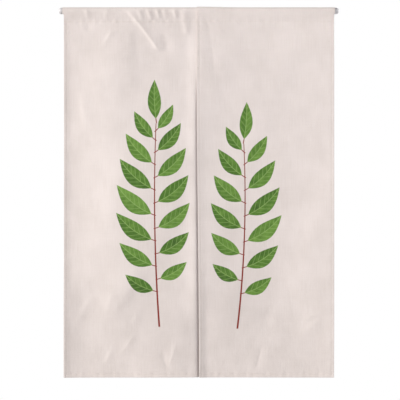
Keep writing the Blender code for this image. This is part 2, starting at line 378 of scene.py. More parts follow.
@dataclass(frozen=True)
class Drape:
    """How the whole curtain hangs: its outline, its slit, its folds and the way its edges curl."""

    rod_radius: float = 0.0095
    rod_clearance: float = 0.0006
    layer: float = 0.0013
    sewn_gap: float = 0.0007
    height: float = 1.167
    seam_y: float = -0.008
    pocket_depth: float = 0.046
    pocket_slack: float = 0.0008
    slit_from: float = 0.195
    slit_top: float = -0.0061
    slit_foot: float = 0.0012
    lap: float = 0.012
    lap_rest: float = 0.004
    lap_fade: float = 0.220
    lap_fade_over_rod: float = 0.110
    outer_curl: float = 0.013
    inner_roll: float = 0.009
    inner_lift: float = 0.016
    outer_back: float = 0.007
    dive_from: float = -0.002
    dive_to: float = 0.005
    folds: tuple[Fold, ...] = FOLDS + PUCKERS
    waves: tuple[Wave, ...] = WAVES
    edges: tuple[EdgeRow, ...] = EDGE_ROWS

    @property
    def over_radius(self) -> float:
        """The outer radius of the cloth over the rod."""
        return self.rod_radius + self.rod_clearance + self.layer

    @property
    def lap_step(self) -> float:
        """How far the lapping panel stands off the one beneath it."""
        return self.layer + self.sewn_gap

    def relief(self, across: Array, drop: Array) -> Array:
        """Works out the folds' and waves' relief.

        Args:
            across: the places' distance to the right of the rod's middle.
            drop: the places' drop.

        Returns:
            How far each place is lifted towards the viewer.
        """
        height = sum(fold.lift(across / MM, drop / MM) for fold in self.folds)
        sway = smooth(drop, self.pocket_depth, self.slit_from)
        for wave in self.waves:
            turn = 2.0 * math.pi * (across / wave.length_across + drop / wave.length_down) / MM
            height = height + sway * wave.height * np.sin(turn + wave.phase)
        return height * MM

    def edge(self, name: str, drop: float) -> float:
        """Reads one column of the edges' table at a drop.

        Args:
            name: the column's name.
            drop: the drop.

        Returns:
            The value there, in metres.
        """
        value = getattr(self.edges[0], name)
        for upper, lower in zip(self.edges, self.edges[1:]):
            value += (getattr(lower, name) - getattr(upper, name)) * smooth(drop / MM, upper.drop, lower.drop)
        return float(value) * MM

    def slit_x(self, drop: float) -> float:
        """Returns the X of the visible edge between the panels, which leans a little below the sewn part."""
        return float(mix(self.slit_top, self.slit_foot, smooth(drop, self.slit_from, self.height)))


@dataclass(frozen=True)
class Station:
    """One row of the cloth: the leg that it lies on, and its drop there, or its turn round the rod in radians."""

    leg: Leg
    at: float


@dataclass(frozen=True)
class Leaf:
    """One printed leaf: its share of the way up the stem, its side, its angle in degrees, and millimetres."""

    run: float
    side: Side
    angle: float
    length: float
    width: float
    bend: float
    tone: float


@dataclass(frozen=True)
class Sprig:
    """A printed sprig: an upright stem with oval leaves on both sides and one at its tip, in millimetres."""

    foot: tuple[float, float]
    tip: tuple[float, float]
    bow: float
    leaves: tuple[Leaf, ...]
    stalk: float = 14.0

    def stem_point(self, run: Array | float) -> tuple[Any, Any]:
        """Returns the across and the drop of the stem at a share of the way from its foot to its tip."""
        across = mix(self.foot[0], self.tip[0], run) + self.bow * 4.0 * run * (1.0 - run)
        return across, mix(self.foot[1], self.tip[1], run)

    def bases(self) -> Array:
        """Works out where each leaf starts and how it points.

        Returns:
            A row for each leaf: across, drop, direction across, direction down, length, width, bend and tone,
            with lengths in metres.
        """
        rows = []
        for leaf in self.leaves:
            angle = math.radians(leaf.angle) * leaf.side.value
            towards = (math.sin(angle), -math.cos(angle))
            across, drop = self.stem_point(leaf.run)
            start = (across + towards[0] * self.stalk, drop + towards[1] * self.stalk)
            lengths = (leaf.length * MM, leaf.width * MM, leaf.bend * MM * leaf.side.value)
            rows.append((start[0] * MM, start[1] * MM, *towards, *lengths, leaf.tone))
        return np.array(rows)


LEFT_SPRIG = Sprig(
    foot=(-124, 1006),
    tip=(-134, 366),
    bow=-9,
    leaves=(
        Leaf(0.165, Side.LEFT, 60, 102, 41, 7, 0.30),
        Leaf(0.225, Side.RIGHT, 58, 98, 40, 7, 0.62),
        Leaf(0.290, Side.LEFT, 56, 125, 48, 9, 0.55),
        Leaf(0.350, Side.RIGHT, 55, 114, 46, 9, 0.34),
        Leaf(0.415, Side.LEFT, 53, 140, 52, 11, 0.42),
        Leaf(0.475, Side.RIGHT, 52, 125, 49, 10, 0.66),
        Leaf(0.540, Side.LEFT, 50, 142, 53, 11, 0.70),
        Leaf(0.600, Side.RIGHT, 49, 127, 51, 10, 0.45),
        Leaf(0.665, Side.LEFT, 47, 136, 51, 10, 0.38),
        Leaf(0.725, Side.RIGHT, 45, 125, 48, 9, 0.58),
        Leaf(0.790, Side.LEFT, 42, 123, 46, 8, 0.64),
        Leaf(0.850, Side.RIGHT, 40, 112, 43, 7, 0.36),
        Leaf(0.910, Side.LEFT, 35, 102, 39, 6, 0.46),
        Leaf(0.955, Side.RIGHT, 32, 89, 34, 5, 0.60),
        Leaf(1.000, Side.LEFT, 2, 123, 41, 3, 0.48),
    ),
)

RIGHT_SPRIG = Sprig(
    foot=(122, 1012),
    tip=(142, 430),
    bow=12,
    leaves=(
        Leaf(0.180, Side.RIGHT, 60, 98, 40, 7, 0.58),
        Leaf(0.250, Side.LEFT, 58, 95, 40, 7, 0.36),
        Leaf(0.320, Side.RIGHT, 56, 121, 47, 9, 0.40),
        Leaf(0.390, Side.LEFT, 54, 112, 46, 9, 0.64),
        Leaf(0.460, Side.RIGHT, 53, 134, 51, 10, 0.68),
        Leaf(0.530, Side.LEFT, 51, 123, 49, 10, 0.44),
        Leaf(0.600, Side.RIGHT, 49, 131, 51, 10, 0.36),
        Leaf(0.670, Side.LEFT, 47, 121, 48, 9, 0.60),
        Leaf(0.740, Side.RIGHT, 44, 123, 46, 8, 0.52),
        Leaf(0.810, Side.LEFT, 42, 112, 43, 7, 0.40),
        Leaf(0.880, Side.RIGHT, 37, 104, 39, 6, 0.62),
        Leaf(0.945, Side.LEFT, 34, 89, 36, 5, 0.42),
        Leaf(1.000, Side.RIGHT, 4, 117, 40, 3, 0.55),
    ),
)


@dataclass(frozen=True)
class PrintedLinen:
    """Linen and cotton cloth in a plain weave, unbleached and then half bleached, with a pigment print.

    The eye sees a matt, slightly pink off-white, thicker threads as faint upright and level streaks, and printed
    leaves whose ink lies on top of the threads and lets the hollows between them show a little.
    """

    ground: str = "#E8DEDA"
    ground_grey: str = "#DDD3CE"
    # Also the tint of the painted shade where the cloth lies double.
    slub_and_shade_dark: str = "#D2C7BF"
    slub_light: str = "#F2ECE9"
    leaf_deep: str = "#2B5204"
    leaf_mid: str = "#467316"
    leaf_light: str = "#709B3C"
    leaf_vein: str = "#95B766"
    stem_red: str = "#86200E"
    thread_mm: float = 1.5
    slub_mm: float = 2.6
    slub_run_mm: float = 64.0
    patch_mm: float = 90.0
    rumple_mm: float = 34.0
    rough_edge_mm: float = 5.0
    wash_mm: float = 16.0
    vein_step_mm: float = 9.5
    vein_slope: float = 1.15
    stem_foot_mm: float = 3.1
    stem_taper_mm: float = 1.7
    relief_mm: float = 0.07
    roughness: float = 0.88
    sheen: float = 0.12

    def streaks(self, tree: Tree, flat: Socket, upright: bool) -> Node:
        """Adds the thicker threads of one direction.

        Args:
            tree: the material's tree.
            flat: the flat cloth's coordinates, in metres.
            upright: True for the warp, which runs up and down, and False for the weft.

        Returns:
            The node that gives 0 to 1, where 1 is the middle of a thick thread.
        """
        narrow, wide = 1.0 / (self.slub_mm * MM), 1.0 / (self.slub_run_mm * MM)
        scale = (narrow, wide, 1.0) if upright else (wide, narrow, 1.0)
        moved = (0.0, 0.0, 0.0) if upright else (7.3, 2.9, 0.0)
        place = put(tree, MAPPING, {"Vector": flat, "Scale": scale, "Location": moved})
        return put(tree, NOISE, {"Vector": place, "Scale": 1.0, "Detail": 2.5, "Roughness": 0.6})

    def ground_colour(self, tree: Tree, flat: Socket) -> tuple[Node, Node, Node]:
        """Adds the bare cloth's colour, with a painted shade that makes it a little darker where it is double,
        scaled by the soft tone patches.

        Args:
            tree: the material's tree.
            flat: the flat cloth's coordinates, in metres.

        Returns:
            The colour's node, and the noises of the warp and the weft.
        """
        add = partial(put, tree)
        warp, weft = self.streaks(tree, flat, True), self.streaks(tree, flat, False)
        cloudy = add(NOISE, {"Vector": flat, "Scale": 1.0 / (self.patch_mm * MM), "Detail": 4.0})
        tints = [(add(RANGE, {0: cloudy, 1: 0.38, 2: 0.66, 3: 0.0, 4: 0.55}), self.ground_grey)]
        for noise, amount in ((warp, 0.30), (weft, 0.13)):
            tints.append((add(RANGE, {0: noise, 1: 0.52, 2: 0.80, 3: 0.0, 4: amount}), self.slub_and_shade_dark))
            tints.append((add(RANGE, {0: noise, 1: 0.46, 2: 0.20, 3: 0.0, 4: amount}), self.slub_light))
        # Painted shade: the colour is darkened a little where the cloth lies double, at its hems and the pocket's
        # turning.
        layers = add(ATTRIBUTE, attribute_name="layers").outputs["Fac"]
        tints.append((add(MATH, {0: layers, 1: 0.05}, operation="MULTIPLY"), self.slub_and_shade_dark))
        base: Any = linear(self.ground)
        for share, tint in tints:
            base = add(MIX, {0: share, 6: base, 7: linear(tint)}, data_type="RGBA")
        # The colour is scaled by the soft tone patches, lighter in some places and darker in others.
        tone_patches = add(ATTRIBUTE, attribute_name="tone_patches").outputs["Fac"]
        return add(VECTOR_MATH, {0: base, "Scale": tone_patches}, operation="SCALE"), warp, weft

    def leaf_place(self, tree: Tree, across: Socket, drop: Socket) -> tuple[Node, Node, Node]:
        """Adds the place within the nearest leaf, which each of the cloth's faces names in its attributes.

        Args:
            tree: the material's tree.
            across: the distance to the right of the rod's middle.
            drop: the drop.

        Returns:
            Nodes for the share of the way along the leaf, the distance from its bent midrib and its half width.
        """
        add = partial(put, tree)
        base_across, base_drop, length = parts_of(tree, "leaf_base")
        turn_across, turn_down, width = parts_of(tree, "leaf_turn")
        bend = parts_of(tree, "leaf_look")[0]
        right = add(MATH, {0: across, 1: base_across}, operation="SUBTRACT")
        down = add(MATH, {0: drop, 1: base_drop}, operation="SUBTRACT")
        offset = add(JOIN, {0: right, 1: down})
        ahead = add(JOIN, {0: turn_across, 1: turn_down})
        back = add(MATH, {0: turn_down, 1: -1.0}, operation="MULTIPLY")
        square = add(JOIN, {0: back, 1: turn_across})
        along = add(VECTOR_MATH, {0: offset, 1: ahead}, operation="DOT_PRODUCT")
        aside = add(VECTOR_MATH, {0: offset, 1: square}, operation="DOT_PRODUCT")
        share = add(MATH, {0: along.outputs["Value"], 1: length}, operation="DIVIDE")
        rest = add(MATH, {0: 1.0, 1: share}, operation="SUBTRACT")
        arch = add(MATH, {0: share, 1: rest}, operation="MULTIPLY")
        arch = add(MATH, {0: arch, 1: 4.0}, operation="MULTIPLY")
        bent = add(MATH, {0: arch, 1: bend}, operation="MULTIPLY")
        aside = add(MATH, {0: aside.outputs["Value"], 1: bent}, operation="SUBTRACT")
        half = add(MATH, {0: share, 1: -0.6, 2: 1.3}, operation="MULTIPLY_ADD")
        half = add(MATH, {0: half, 1: 0.1}, operation="MAXIMUM")
        for factor in (arch, width, 0.5):
            half = add(MATH, {0: half, 1: factor}, operation="MULTIPLY")
        return share, aside, half

    def leaf_ink(self, tree: Tree, flat: Socket, place: tuple[Node, Node, Node]) -> tuple[Node, Node]:
        """Adds a leaf's ink: two-toned halves, a pale midrib, paler side veins and a mottled wash.

        Args:
            tree: the material's tree.
            flat: the flat cloth's coordinates, in metres.
            place: the nodes that leaf_place gives.

        Returns:
            Nodes for the ink's colour and for how much of it lies there.
        """
        add = partial(put, tree)
        share, aside, half = place
        tone, length = parts_of(tree, "leaf_look")[1], parts_of(tree, "leaf_base")[2]
        away = add(MATH, {0: aside}, operation="ABSOLUTE")
        inside = add(MATH, {0: half, 1: away}, operation="SUBTRACT")
        ragged = add(NOISE, {"Vector": flat, "Scale": 1.0 / (self.rough_edge_mm * MM), "Detail": 2.0})
        ragged = add(MATH, {0: ragged, 1: 1.6 * MM, 2: -0.8 * MM}, operation="MULTIPLY_ADD")
        inside = add(MATH, {0: inside, 1: ragged}, operation="ADD")
        cover = add(RANGE, {0: inside, 1: -0.3 * MM, 2: 0.5 * MM})
        wash = add(NOISE, {"Vector": flat, "Scale": 1.0 / (self.wash_mm * MM), "Detail": 5.0})
        upper = add(MATH, {0: aside, 1: 0.0}, operation="GREATER_THAN")
        toned = add(MATH, {0: tone, 1: 0.7, 2: -0.22}, operation="MULTIPLY_ADD")
        for look, amount in ((wash, 0.8), (upper, 0.16)):
            toned = add(MATH, {0: look, 1: amount, 2: toned}, operation="MULTIPLY_ADD")
        ink = add("ShaderNodeValToRGB", {0: toned})
        ramp = ink.color_ramp.elements
        ramp[0].position, ramp[0].color = 0.15, linear(self.leaf_deep)
        ramp[1].position, ramp[1].color = 0.95, linear(self.leaf_light)
        ramp.new(0.50).color = linear(self.leaf_mid)
        run = add(MATH, {0: share, 1: length}, operation="MULTIPLY")
        slant = add(MATH, {0: away, 1: -self.vein_slope, 2: run}, operation="MULTIPLY_ADD")
        beat = add(MATH, {0: slant, 1: 1.0 / (self.vein_step_mm * MM)}, operation="MULTIPLY")
        beat = add(MATH, {0: beat, 1: 1.0}, operation="PINGPONG")
        side_vein = add(RANGE, {0: beat, 1: 0.20, 2: 0.05, 3: 0.0, 4: 0.55})
        midrib = add(RANGE, {0: away, 1: 1.5 * MM, 2: 0.5 * MM, 3: 0.0, 4: 0.75})
        veined = add(MATH, {0: side_vein, 1: midrib}, operation="MAXIMUM")
        return add(MIX, {0: veined, 6: ink, 7: linear(self.leaf_vein)}, data_type="RGBA"), cover

    def stem_ink(self, tree: Tree, place: tuple[Node, Node, Node]) -> Node:
        """Adds the red ink of the stem and of the leaves' stalks.

        Args:
            tree: the material's tree.
            place: the nodes that leaf_place gives.

        Returns:
            The node for how much of the ink lies there.
        """
        add = partial(put, tree)
        share, aside, _ = place
        beside, rise, _ = parts_of(tree, "stem_place")
        beside = add(MATH, {0: beside}, operation="ABSOLUTE")
        taper = {0: rise, 1: -self.stem_taper_mm * MM, 2: self.stem_foot_mm * MM}
        inside = add(MATH, {0: add(MATH, taper, operation="MULTIPLY_ADD"), 1: beside}, operation="SUBTRACT")
        stem = add(RANGE, {0: inside, 1: 0.0, 2: 0.5 * MM})
        away = add(MATH, {0: aside}, operation="ABSOLUTE")
        run = add(MATH, {0: share, 1: parts_of(tree, "leaf_base")[2]}, operation="MULTIPLY")
        stalk = add(RANGE, {0: away, 1: 1.7 * MM, 2: 1.2 * MM})
        for low, high in ((-0.004, 0.0), (1.0, 0.998)):
            end = add(RANGE, {0: rise, 1: low, 2: high})
            stem = add(MATH, {0: stem, 1: end}, operation="MULTIPLY")
        for value, low, high in ((run, -15.0 * MM, -14.0 * MM), (share, 0.10, 0.02)):
            end = add(RANGE, {0: value, 1: low, 2: high})
            stalk = add(MATH, {0: stalk, 1: end}, operation="MULTIPLY")
        return add(MATH, {0: stem, 1: stalk}, operation="MAXIMUM")

    def build(self) -> bpy.types.Material:
        """Builds the cloth's material.

        Returns:
            The material, which reads the panels' flat_cloth map and their attributes.
        """
        material, tree, shader = new_material("half_bleached_linen_with_leaf_print")
        add = partial(put, tree)
        flat = add("ShaderNodeUVMap", uv_map="flat_cloth").outputs[0]
        across, drop, face = parts_of(tree, "print_place")
        base, warp, weft = self.ground_colour(tree, flat)
        # The real threads lie 0.6 mm apart. They are drawn 1.5 mm apart, so that a closer view shows them.
        turns = 2 * math.pi / (self.thread_mm * MM)
        threads = add(SPLIT, {0: add(MAPPING, {"Vector": flat, "Scale": (turns, turns, turns)})})
        over, under = (add(MATH, {0: threads.outputs[i]}, operation="SINE") for i in range(2))
        weave = add(MATH, {0: over, 1: under}, operation="MULTIPLY")
        leaf = self.leaf_place(tree, across, drop)
        ink, cover = self.leaf_ink(tree, flat, leaf)
        strength = add(MATH, {0: weave, 1: 0.03, 2: 0.97}, operation="MULTIPLY_ADD")
        strength = add(MATH, {0: strength, 1: face}, operation="MULTIPLY")
        colour = base
        for share, printed in ((self.stem_ink(tree, leaf), linear(self.stem_red)), (cover, ink)):
            share = add(MATH, {0: share, 1: strength}, operation="MULTIPLY")
            colour = add(MIX, {0: share, 6: colour, 7: printed}, data_type="RGBA")
        soft = add(NOISE, {"Vector": flat, "Scale": 1.0 / (self.rumple_mm * MM), "Detail": 3.0})
        slubs = add(MATH, {0: weft, 1: 0.4, 2: warp}, operation="MULTIPLY_ADD")
        height = add(MATH, {0: slubs, 1: 1.6, 2: weave}, operation="MULTIPLY_ADD")
        height = add(MATH, {0: soft, 1: 9.0, 2: height}, operation="MULTIPLY_ADD")
        skin = {
            "Base Color": colour,
            "Roughness": add(RANGE, {0: warp, 1: 0.3, 2: 0.7, 3: self.roughness - 0.05, 4: 0.95}),
            "Normal": add(BUMP, {"Height": height, "Distance": self.relief_mm * MM, "Strength": 1.0}),
            "IOR": 1.5,
            "Specular IOR Level": 0.25,
            "Sheen Weight": self.sheen,
            "Sheen Roughness": 0.5,
        }
        fill(tree, shader, skin)
        return material


@dataclass(frozen=True)
class CottonThread:
    """Spun cotton sewing thread: matt, off-white, with the twist of its plies as a fine slanting ripple whose
    grooves are darkened as painted shade.
    """

    colour: str = "#E6DBD2"
    shade: str = "#CFC2B6"
    ply_mm: float = 0.5
    slant: float = 0.6

    def build(self) -> bpy.types.Material:
        """Builds the thread's material.

        Returns:
            The material.
        """
        material, tree, shader = new_material("spun_cotton_thread")
        add = partial(put, tree)
        place = add("ShaderNodeTexCoord").outputs["Object"]
        turned = add(MAPPING, {"Vector": place, "Rotation": (self.slant, self.slant, 0.0)})
        pitch = {"Vector": turned, "Scale": 1.0 / (self.ply_mm * MM * 20), "Distortion": 1.0}
        ply = add("ShaderNodeTexWave", pitch).outputs["Fac"]
        skin = {
            # Painted shade: the colour darkens in the grooves of the ply ripple, where the bump is low.
            "Base Color": add(MIX, {0: ply, 6: linear(self.shade), 7: linear(self.colour)}, data_type="RGBA"),
            "Normal": add(BUMP, {"Height": ply, "Distance": 0.05 * MM}),
            "Roughness": 0.8,
            "IOR": 1.5,
        }
        fill(tree, shader, skin)
        return material


@dataclass(frozen=True)
class EnamelledSteel:
    """Thin steel tube with stoved white enamel: smooth and softly glossy, with a faint orange-peel ripple."""

    colour: str = "#EDEDEE"
    worn: str = "#DCDAD7"
    wear_mm: float = 40.0
    peel_mm: float = 2.2

    def build(self) -> bpy.types.Material:
        """Builds the tube's material.

        Returns:
            The material.
        """
        material, tree, shader = new_material("stoved_white_enamel_on_steel")
        add = partial(put, tree)
        place = add("ShaderNodeTexCoord").outputs["Object"]
        rub = add(NOISE, {"Vector": place, "Scale": 1.0 / (self.wear_mm * MM), "Detail": 4.0})
        share = add(RANGE, {0: rub, 1: 0.45, 2: 0.75, 3: 0.0, 4: 0.6})
        peel = add(NOISE, {"Vector": place, "Scale": 1.0 / (self.peel_mm * MM), "Detail": 2.0})
        skin = {
            "Base Color": add(MIX, {0: share, 6: linear(self.colour), 7: linear(self.worn)}, data_type="RGBA"),
            "Roughness": add(RANGE, {0: rub, 1: 0.3, 2: 0.7, 3: 0.24, 4: 0.36}),
            "Normal": add(BUMP, {"Height": peel, "Distance": 0.02 * MM}),
            "IOR": 1.5,
        }
        fill(tree, shader, skin)
        return material


@dataclass(frozen=True)
class MouldedPlastic:
    """Injection-moulded polyethylene, off-white: a satin skin with a fine spark-eroded grain from the mould."""

    colour: str = "#D8D6D8"
    shade: str = "#CBC9CB"
    flow_mm: float = 12.0
    grain_mm: float = 0.7

    def build(self) -> bpy.types.Material:
        """Builds the caps' material.

        Returns:
            The material.
        """
        material, tree, shader = new_material("moulded_off_white_polyethylene")
        add = partial(put, tree)
        place = add("ShaderNodeTexCoord").outputs["Object"]
        flow = add(NOISE, {"Vector": place, "Scale": 1.0 / (self.flow_mm * MM), "Detail": 3.0})
        grain = add(NOISE, {"Vector": place, "Scale": 1.0 / (self.grain_mm * MM), "Detail": 2.0})
        skin = {
            "Base Color": add(MIX, {0: flow, 6: linear(self.colour), 7: linear(self.shade)}, data_type="RGBA"),
            "Roughness": add(RANGE, {0: grain, 1: 0.3, 2: 0.7, 3: 0.42, 4: 0.55}),
            "Normal": add(BUMP, {"Height": grain, "Distance": 0.03 * MM}),
            "IOR": 1.51,
        }
        fill(tree, shader, skin)
        return material


@dataclass(frozen=True)
class StudioPaper:
    """Matt white backdrop paper for the floor."""

    colour: str = "#EAE8E5"

    def build(self) -> bpy.types.Material:
        """Builds the floor's material.

        Returns:
            The material.
        """
        material, tree, shader = new_material("matt_studio_paper")
        place = put(tree, "ShaderNodeTexCoord").outputs["Object"]
        fibre = put(tree, NOISE, {"Vector": place, "Scale": 6.0, "Detail": 5.0})
        rough = put(tree, RANGE, {0: fibre, 3: 0.85, 4: 0.95})
        fill(tree, shader, {"Base Color": linear(self.colour), "Roughness": rough})
        return material


@dataclass
class SewnPanel:
    """One cloth panel: hemmed at its sides and foot, its top turned over the rod and sewn down as a pocket."""

    name: str
    side: Side
    outer_edge: float
    flare: float
    drape: Drape
    sprig: Sprig
    tone_patches: tuple[TonePatch, ...] = TONE_PATCHES
    cloth: float = 0.0007
    hem: float = 0.0013
    side_hem: float = 0.010
    bottom_hem: float = 0.011
    stitch_in: float = 0.0014
    seam_in: float = 0.0036
    pocket_turning: float = 0.006
    flare_from: float = 0.019
    flare_to: float = 0.026
    rim: float = 0.0006
    hem_middle: float = 0.006
    beside_stitch: float = 0.0011
    beside_seam: float = 0.0012
    hem_margin: float = 0.0024
    column_step: float = 0.0035
    body_top: float = 0.170
    body_rows: int = 248
    upper_rows: int = 44
    pocket_rows: int = 13
    turn_rows: int = 17
    back_rows: int = 10
    map_apart: float = 1.2
    groove: float = 0.00030
    side_pucker_reach: float = 0.007
    level_pucker_reach: float = 0.008
    side_puckers: tuple[tuple[float, float], ...] = ((0.16, 17.0), (0.12, 23.5))
    level_puckers: tuple[tuple[float, float], ...] = ((0.20, 21.0), (0.14, 34.0))
    bar_tack_rows: int = 11
    bar_tack_mm: float = 6.0
    front: Array = field(init=False)
    reverse: Array = field(init=False)
    outward: Array = field(init=False)
    columns: Array = field(init=False)
    stations: list[Station] = field(init=False)

    @property
    def laps_over(self) -> bool:
        """Whether this is the panel that laps over the other one."""
        return self.side is Side.RIGHT

    @property
    def width(self) -> float:
        """The panel's width as it hangs, measured across."""
        edge = self.drape.slit_top + (0.0 if self.laps_over else self.drape.lap)
        return self.side.value * (self.outer_edge - edge)

    @property
    def flat_length(self) -> float:
        """The sewn panel's length, laid flat with its pocket let out."""
        over = math.pi * self.drape.over_radius
        back = self.drape.pocket_depth + self.pocket_turning - self.drape.over_radius
        return self.drape.height - self.drape.over_radius + over + back

    def column_places(self) -> Array:
        """Spaces the grid's columns, closer together at the hems.

        Returns:
            Each column's distance from the panel's left edge.
        """
        stitch, beside = self.side_hem - self.stitch_in, self.beside_stitch
        hem = [0.0, self.rim, self.seam_in, self.hem_middle, stitch - beside, stitch, stitch + beside]
        hem.append(self.side_hem + self.rim)
        inner_from, inner_to = hem[-1] + self.hem_margin, self.width - hem[-1] - self.hem_margin
        count = round((inner_to - inner_from) / self.column_step)
        inner = np.linspace(inner_from, inner_to, count + 1)
        return np.array([*hem, *inner, *(self.width - place for place in reversed(hem))])

    def station_rows(self) -> list[Station]:
        """Spaces the cloth's rows, closer together at the foot, the seam and the rod.

        Returns:
            The rows from the foot up the front, over the rod and down the pocket's back.
        """
        drape, beside = self.drape, self.beside_seam
        top, seam, foot, line = drape.over_radius, drape.pocket_depth, drape.height, drape.height - self.bottom_hem
        body = [foot, foot - 0.0012, foot - 0.005, line + 0.0022, line + 0.0011, line, line - 0.0014]
        body += [*np.linspace(line - 0.0045, self.body_top, self.body_rows)]
        body += [*np.linspace(self.body_top - 0.003, seam + 0.0035, self.upper_rows), seam + beside, seam]
        body += [seam - beside, *np.linspace(seam - 0.0035, top + 0.002, self.pocket_rows)]
        over = np.linspace(0.0, math.pi, self.turn_rows)
        back = [*np.linspace(top + 0.003, seam - 0.0035, self.back_rows), seam - beside, seam, seam + beside]
        back.append(seam + self.pocket_turning)
        rows = ((Leg.FRONT, body), (Leg.OVER, over), (Leg.BACK, back))
        return [Station(leg, at) for leg, places in rows for at in places]

    def from_inner(self) -> Array:
        """Returns each column's distance from the edge beside the slit."""
        return self.columns if self.laps_over else self.width - self.columns

    def across(self, drop: float) -> Array:
        """Places the columns at a drop, with the heading's flare and the slit's lean.

        Args:
            drop: the drop.

        Returns:
            The X of each column.
        """
        drape, inner = self.drape, self.from_inner()
        left = drape.slit_top if self.laps_over else self.outer_edge
        lean = (drape.slit_x(drop) - drape.slit_top) * (1.0 - smooth(inner, self.side_hem, self.width))
        flare = self.side.value * self.flare * (1.0 - float(smooth(drop, self.flare_from, self.flare_to)))
        return left + self.columns + lean + flare * smooth(inner, self.width - 4 * self.side_hem, self.width)

    def curl(self, across: Array, drop: float) -> Array:
        """Curls the panel's edges.

        Args:
            across: the X of each column.
            drop: the row's drop.

        Returns:
            How far each column moves towards the viewer.
        """
        drape = self.drape
        if self.laps_over:
            lift = drape.edge("inner_right_forward", drop) * bell(self.columns, drape.inner_lift)
            return lift - drape.edge("outer_right_back", drop) * bell(self.width - self.columns, drape.outer_back)
        beside = drape.slit_x(drop) - across
        roll = drape.edge("inner_left_roll", drop) * bell(np.maximum(beside, 0.0), drape.inner_roll)
        dive = drape.edge("inner_left_dive", drop) * (1.0 - smooth(beside, drape.dive_from, drape.dive_to))
        return drape.edge("outer_left_forward", drop) * bell(self.columns, drape.outer_curl) - roll - dive

    def lap_off(self, fade: float) -> Array:
        """Lifts the lapping panel off the one beneath it.

        Args:
            fade: the length across over which the lift fades out.

        Returns:
            How far each column stands off.
        """
        drape = self.drape
        if not self.laps_over:
            return np.zeros_like(self.columns)
        rest = drape.lap + drape.lap_rest
        return drape.lap_step * (1.0 - smooth(self.columns, rest, rest + fade))

    def sewn_in(self, drop: float) -> Array:
        """Pulls the face in along the rows of stitches, with the hem's puckers beside them.

        Args:
            drop: the row's drop.

        Returns:
            How far each column moves away from the viewer.
        """
        drape, inset = self.drape, self.side_hem - self.stitch_in
        below = float(smooth(drop, drape.pocket_depth - 0.004, drape.pocket_depth))
        pucker = sum(height * MM * math.sin(2 * math.pi * drop / (step * MM)) for height, step in self.side_puckers)
        pulled, reach = np.zeros_like(self.columns), self.side_pucker_reach
        for offset in (self.columns - inset, self.width - self.columns - inset):
            pulled += below * (self.groove * bell(offset, self.beside_stitch) + pucker * bell(offset, reach))
        turns = 2 * math.pi * self.columns
        ripple = sum(height * MM * np.sin(turns / (step * MM)) for height, step in self.level_puckers)
        for line in (drape.pocket_depth, drape.height - self.bottom_hem):
            pulled += self.groove * 1.3 * float(bell(drop - line, self.beside_seam))
            pulled += ripple * float(bell(drop - line, self.level_pucker_reach))
        return pulled

    def front_y(self, drop: float) -> Array:
        """Places one row of the face where it hangs, from the rod's axis down to the foot.

        Args:
            drop: the row's drop.

        Returns:
            The Y of each column.
        """
        drape, across = self.drape, self.across(drop)
        lift = drape.relief(across, np.full_like(across, drop))
        hanging = drape.seam_y - self.lap_off(drape.lap_fade) - lift - self.curl(across, drop)
        if drop < drape.pocket_depth:
            share = float(smooth(drop, drape.over_radius, drape.pocket_depth))
            radius = drape.over_radius + self.lap_off(drape.lap_fade_over_rod)
            hanging = mix(-radius - np.maximum(lift, 0.0) * (1.0 - share), hanging, share)
        return hanging + self.sewn_in(drop)

    def place(self, station: Station) -> Array:
        """Places one row of the face.

        Args:
            station: the row's leg, and its drop or turn.

        Returns:
            A point for each column.
        """
        drape, top = self.drape, self.drape.over_radius
        if station.leg is Leg.OVER:
            drop = top - top * math.sin(station.at)
            across = self.across(drop)
            lift = np.maximum(drape.relief(across, np.full_like(across, drop)), 0.0)
            radius = top + self.lap_off(drape.lap_fade_over_rod) + lift * smooth(math.cos(station.at), 0.0, 1.0)
            return np.stack([across, -radius * math.cos(station.at), radius * math.sin(station.at)], axis=1)
        across, height = self.across(station.at), np.full_like(self.columns, top - station.at)
        if station.leg is Leg.FRONT:
            return np.stack([across, self.front_y(station.at), height], axis=1)
        sewn = self.front_y(max(station.at, drape.pocket_depth))
        layers = 2 * drape.layer + drape.sewn_gap + drape.pocket_slack + 2 * self.lap_off(drape.lap_fade)
        share = float(smooth(station.at, top, drape.pocket_depth))
        radius = top + self.lap_off(drape.lap_fade_over_rod)
        return np.stack([across, mix(radius, sewn + layers, share), height], axis=1)

    def thickness(self) -> Array:
        """Works out the cloth's thickness, which is more where it is turned under.

        Returns:
            The thickness at each row and column.
        """
        side = np.minimum(self.columns, self.width - self.columns) < self.side_hem
        rows = []
        for station in self.stations:
            foot = station.leg is Leg.FRONT and station.at > self.drape.height - self.bottom_hem - 0.0008
            turned = station.leg is Leg.BACK and station.at > self.drape.pocket_depth - self.pocket_turning
            rows.append(np.where(side | (foot or turned), self.hem, self.cloth))
        return np.array(rows)

    def lay_out(self) -> None:
        """Works out the face, the reverse and the outward directions of the whole panel."""
        self.columns, self.stations = self.column_places(), self.station_rows()
        self.front = np.array([self.place(station) for station in self.stations])
        sideways, upwards = np.gradient(self.front, axis=1), np.gradient(self.front, axis=0)
        outward = np.cross(sideways, upwards)
        self.outward = outward / np.linalg.norm(outward, axis=2, keepdims=True)
        self.reverse = self.front - self.outward * self.thickness()[..., None]

    def quads(self) -> Array:
        """Joins the two faces and their rims.

        Returns:
            The corners of every quad.
        """
        rows, columns = self.front.shape[:2]
        index = np.arange(rows * columns).reshape(rows, columns)
        a, b, c, d = index[:-1, :-1], index[:-1, 1:], index[1:, 1:], index[1:, :-1]
        face = np.stack([a, b, c, d], axis=2).reshape(-1, 4)
        reverse = np.stack([a, d, c, b], axis=2).reshape(-1, 4) + rows * columns
        rim = np.concatenate([index[0], index[1:, -1], index[-1, -2::-1], index[-2::-1, 0]])
        near, ahead = rim[:-1], rim[1:]
        loop = np.stack([near, near + rows * columns, ahead + rows * columns, ahead], axis=1)
        return np.concatenate([face, reverse, loop])

